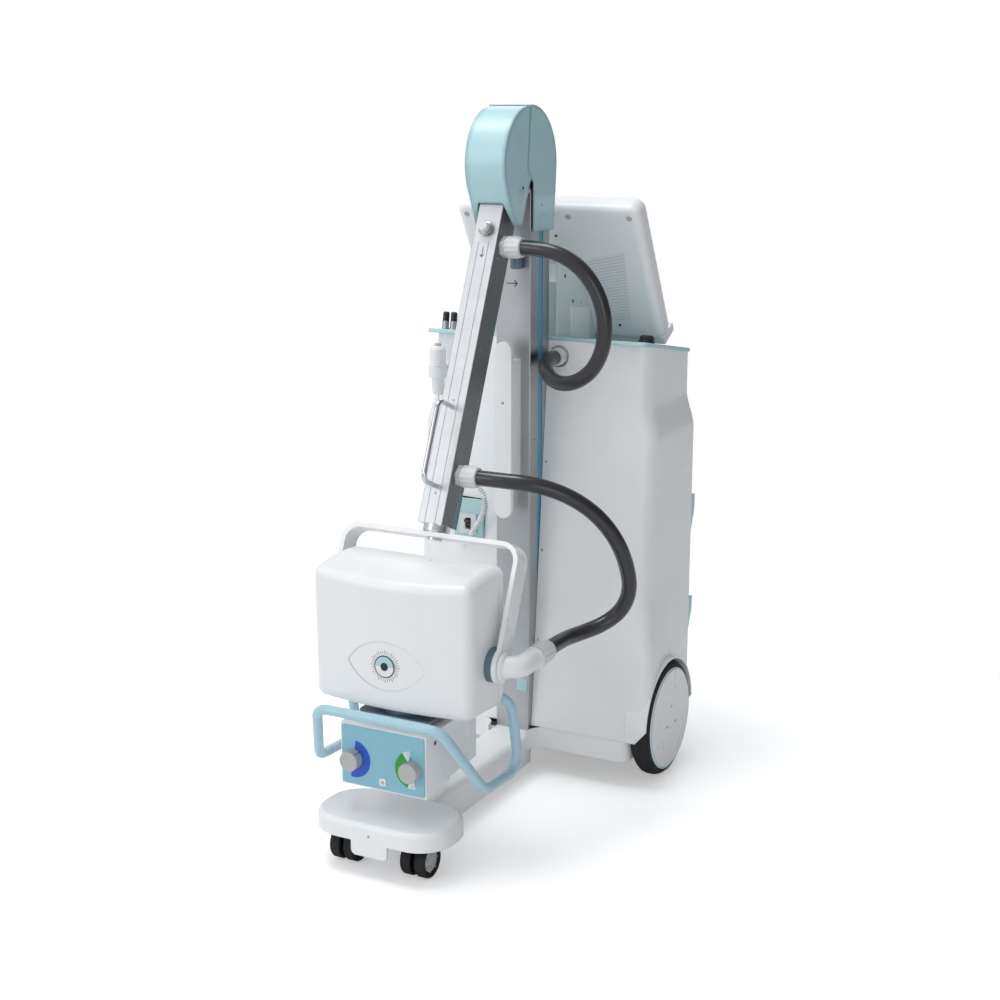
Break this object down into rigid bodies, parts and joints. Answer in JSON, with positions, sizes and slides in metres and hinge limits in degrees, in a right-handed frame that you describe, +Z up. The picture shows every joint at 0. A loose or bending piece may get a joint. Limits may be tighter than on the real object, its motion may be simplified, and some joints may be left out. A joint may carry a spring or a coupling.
{
  "type": "mobile x-ray machine",
  "caption": "Ward x-ray cart: white cabinet on large rear wheels and front casters, tilting arm on a column, yoke-held tube head with a beam-limiting box, hoses and console",
  "frame": {"origin": "bottom centre of the bounding box, on the floor midway between the rear wheels", "axes": "+Z up; -Y is the front, where the tube head and the casters are; +X is the viewer's right in front of it"},
  "size_m": [0.721, 1.102, 1.577],
  "materials": {
    "housing": "warm white moulded housing",
    "trim": "light blue paint",
    "metal": "brushed",
    "chrome": "polished",
    "steel": "satin",
    "tyre": "grey rubber",
    "hose": "glossy dark sleeve",
    "grey": "light grey",
    "black": "black",
    "frame": "dark frame paint",
    "glass": "dark display glass"
  },
  "bodies": {
    "base": {"chassis_frame": "frame", "front_leg_cover": "housing", "base_skirt": "housing", "cabinet_shell": "housing", "cabinet_rear_panel": "housing", "top_plate": "trim", "console_shell": "housing", "display_screen": "glass", "console_stand": "trim", "push_handle": "black", "cassette_rack": "trim", "column_profile": "metal", "column_head_block": "metal", "pivot_axle": "steel", "balance_springs": "steel", "rear_head_cover": "trim", "column_pad": "housing", "caster_cover": "housing", "power_unit": "frame", "switch_holder": "grey", "breaker_panel": "trim", "breaker_body": "black", "cable_sockets": "black", "cabinet_hose_gland": "grey", "upper_hose": "hose", "switch_cord": "housing"},
    "rear_wheel_left": {"rear_tyre_left": "tyre", "rear_wheel_disc_left": "housing"},
    "rear_wheel_right": {"rear_tyre_right": "tyre", "rear_wheel_disc_right": "housing"},
    "caster_left": {"caster_fork_left": "black"},
    "caster_right": {"caster_fork_right": "black"},
    "caster_roll_left": {"caster_wheels_left": "tyre"},
    "caster_roll_right": {"caster_wheels_right": "tyre"},
    "arm": {"arm_profile": "metal", "arm_fork": "metal", "front_head_cover": "trim", "arm_collar": "chrome", "arm_handle": "chrome", "arm_hose_glands": "grey", "lower_hose": "hose"},
    "arm_lock": {"lock_plunger": "grey"},
    "telescope": {"inner_tube": "chrome"},
    "yoke": {"yoke": "housing", "hose_elbow": "housing"},
    "tube_head": {"tube_head_front": "housing", "tube_head_rear": "housing", "xray_tube": "frame", "trunnion_pins": "steel", "swivel_plate": "frame", "head_handle": "trim"},
    "tilt_dial": {"tilt_dial": "trim"},
    "collimator": {"collimator_body": "housing", "collimator_panel": "trim"},
    "field_knob_left": {"field_knob_left": "grey"},
    "field_knob_right": {"field_knob_right": "grey"},
    "light_button": {"light_button": "grey"},
    "hand_switch": {"hand_switch": "housing"},
    "hand_switch_button": {"hand_switch_button": "grey"},
    "breaker_lever": {"breaker_lever": "black"}
  },
  "joints": [
    {"name": "rear_wheel_left_roll", "type": "hinge", "parent": "base", "child": "rear_wheel_left", "pos_m": [-0.31, 0.265, 0.14], "axis": [1, 0, 0], "continuous": true},
    {"name": "rear_wheel_right_roll", "type": "hinge", "parent": "base", "child": "rear_wheel_right", "pos_m": [0.31, 0.265, 0.14], "axis": [1, 0, 0], "continuous": true},
    {"name": "caster_left_swivel", "type": "hinge", "parent": "base", "child": "caster_left", "pos_m": [-0.087, -0.501, 0.08], "axis": [0, 0, 1], "continuous": true},
    {"name": "caster_left_roll", "type": "hinge", "parent": "caster_left", "child": "caster_roll_left", "pos_m": [-0.087, -0.487, 0.0375], "axis": [1, 0, 0], "continuous": true},
    {"name": "caster_right_swivel", "type": "hinge", "parent": "base", "child": "caster_right", "pos_m": [0.087, -0.501, 0.08], "axis": [0, 0, 1], "continuous": true},
    {"name": "caster_right_roll", "type": "hinge", "parent": "caster_right", "child": "caster_roll_right", "pos_m": [0.087, -0.487, 0.0375], "axis": [1, 0, 0], "continuous": true},
    {"name": "arm_raise", "type": "hinge", "parent": "base", "child": "arm", "pos_m": [0, 0.092, 1.45], "axis": [-1, 0, 0], "range_deg": [0, 97], "deforming": ["upper_hose"]},
    {"name": "arm_lock_pull", "type": "slide", "parent": "arm", "child": "arm_lock", "axis": [0, -0.9178, 0.3971], "range_m": [0, 0.008], "stiffness_N_per_m": 400},
    {"name": "telescope_slide", "type": "slide", "parent": "arm", "child": "telescope", "axis": [0, -0.3971, -0.9178], "range_m": [0, 0.25], "deforming": ["lower_hose"]},
    {"name": "yoke_turn", "type": "hinge", "parent": "telescope", "child": "yoke", "pos_m": [0, -0.25934, 0.67587], "axis": [0, -0.3971, -0.9178], "range_deg": [-90, 90]},
    {"name": "head_tilt", "type": "hinge", "parent": "yoke", "child": "tube_head", "pos_m": [0, -0.36022, 0.44276], "axis": [-1, 0, 0], "range_deg": [-30, 90]},
    {"name": "tilt_dial_swing", "type": "hinge", "parent": "tube_head", "child": "tilt_dial", "pos_m": [0, -0.47522, 0.44276], "axis": [0, 1, 0], "continuous": true},
    {"name": "collimator_turn", "type": "hinge", "parent": "tube_head", "child": "collimator", "pos_m": [0, -0.37522, 0.31276], "axis": [0, 0, 1], "range_deg": [-45, 45]},
    {"name": "field_knob_left_turn", "type": "hinge", "parent": "collimator", "child": "field_knob_left", "pos_m": [-0.072, -0.49022, 0.23176], "axis": [0, 1, 0], "range_deg": [-60, 60]},
    {"name": "field_knob_right_turn", "type": "hinge", "parent": "collimator", "child": "field_knob_right", "pos_m": [0.072, -0.49022, 0.23176], "axis": [0, 1, 0], "range_deg": [-60, 60]},
    {"name": "light_button_press", "type": "slide", "parent": "collimator", "child": "light_button", "axis": [0, 1, 0], "range_m": [0, 0.0015], "stiffness_N_per_m": 300},
    {"name": "hand_switch_lift", "type": "slide", "parent": "base", "child": "hand_switch", "axis": [0, 0, 1], "range_m": [0, 0.15], "deforming": ["switch_cord"]},
    {"name": "hand_switch_press", "type": "slide", "parent": "hand_switch", "child": "hand_switch_button", "axis": [0, 0, -1], "range_m": [0, 0.005], "stiffness_N_per_m": 300},
    {"name": "breaker_throw", "type": "hinge", "parent": "base", "child": "breaker_lever", "pos_m": [-0.145, 0.161, 0.592], "axis": [1, 0, 0], "range_deg": [0, 50]}
  ],
  "couplings": [
    {"joint": "telescope_slide", "follows": "arm_raise", "m_per_rad": 0.14767}
  ]
}
